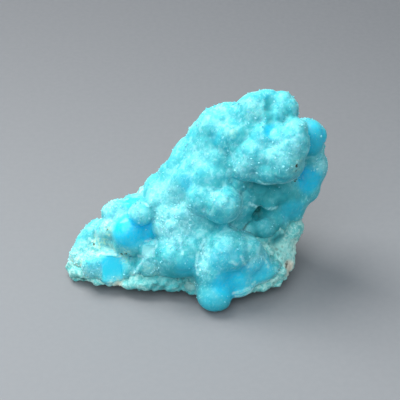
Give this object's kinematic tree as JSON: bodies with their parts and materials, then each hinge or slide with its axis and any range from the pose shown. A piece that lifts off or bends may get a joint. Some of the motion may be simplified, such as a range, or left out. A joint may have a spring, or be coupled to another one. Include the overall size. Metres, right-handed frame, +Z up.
{
  "type": "botryoidal mineral hand specimen",
  "caption": "Free-standing mineral specimen: a knobbly crust of fused rounded lumps rising to an overhanging crest, on a rough wedge of host rock with a level base.",
  "frame": {"origin": "middle of the footprint of the bounding box, on the ground", "axes": "+X along the specimen towards its high end, +Y away from the knobbly face, +Z up"},
  "size_m": [0.0618, 0.0364, 0.0469],
  "materials": {
    "hemimorphite": "sugary, glassy in patches",
    "host_rock": "earthy, rough"
  },
  "bodies": {
    "root": {"hemimorphite_crust": "hemimorphite", "matrix": "host_rock"}
  },
  "joints": []
}
